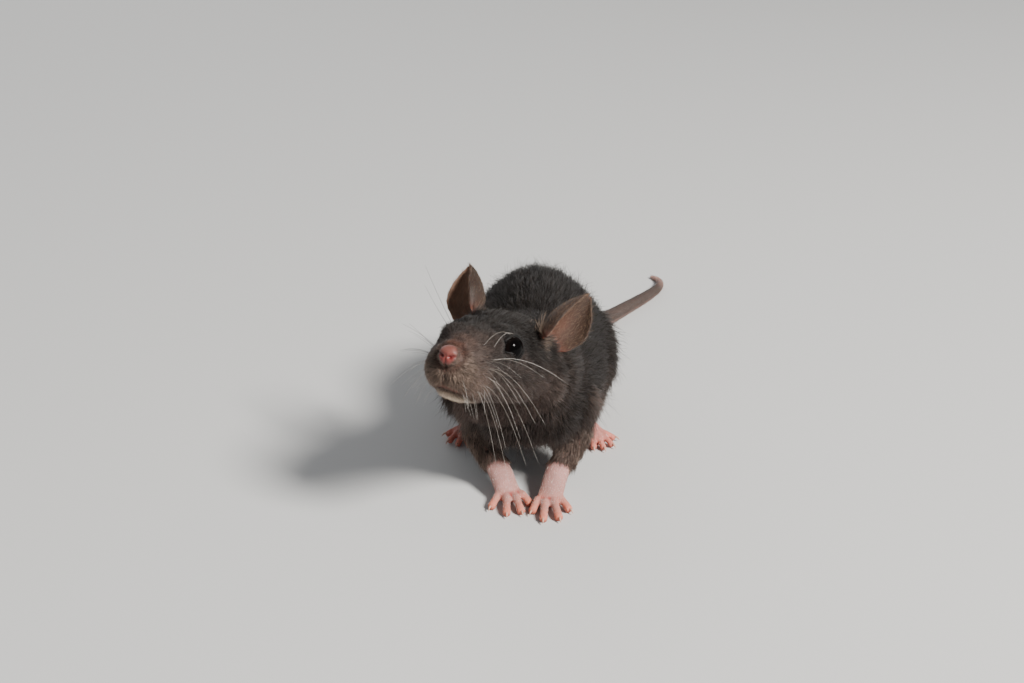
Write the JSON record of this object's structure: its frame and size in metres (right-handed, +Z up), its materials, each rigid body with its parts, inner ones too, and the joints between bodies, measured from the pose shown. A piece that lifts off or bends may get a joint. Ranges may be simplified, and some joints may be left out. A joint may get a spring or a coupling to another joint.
{
  "type": "young grey rat",
  "caption": "Young grey rat standing on all fours, head raised and turned to its right, ears up, long bare tail lying behind it.",
  "frame": {"origin": "on the floor, under the middle of the rat's bounding box", "axes": "+Z up; the rat's body points along -Y and its tail along +Y; +X is its left side"},
  "size_m": [0.0648, 0.165, 0.0543],
  "materials": {
    "coat": "short dense grey-brown fur, slightly glossy along the back",
    "pale_coat": "very short cream-grey fur on the muzzle and chin",
    "bare_skin": "bare pink skin with fine creases",
    "ear_skin": "thin brown skin with a sparse pale down",
    "tail_skin": "ringed scaly skin, dark above and pink at the tip",
    "eye": "wet black eye"
  },
  "bodies": {
    "root": {"nose": "bare_skin", "muzzle": "pale_coat", "jaw": "pale_coat", "head": "coat", "neck": "coat", "eye_left": "eye", "ear_left": "ear_skin", "eye_right": "eye", "ear_right": "ear_skin", "upper_arm_left": "coat", "forearm_left": "coat", "hand_left": "bare_skin", "upper_arm_right": "coat", "forearm_right": "coat", "hand_right": "bare_skin", "thigh_left": "coat", "shank_left": "coat", "foot_left": "bare_skin", "thigh_right": "coat", "shank_right": "coat", "foot_right": "bare_skin", "tail_base": "coat", "tail_middle": "tail_skin", "tail_tip": "tail_skin", "chest": "coat", "loins": "coat"}
  },
  "joints": []
}
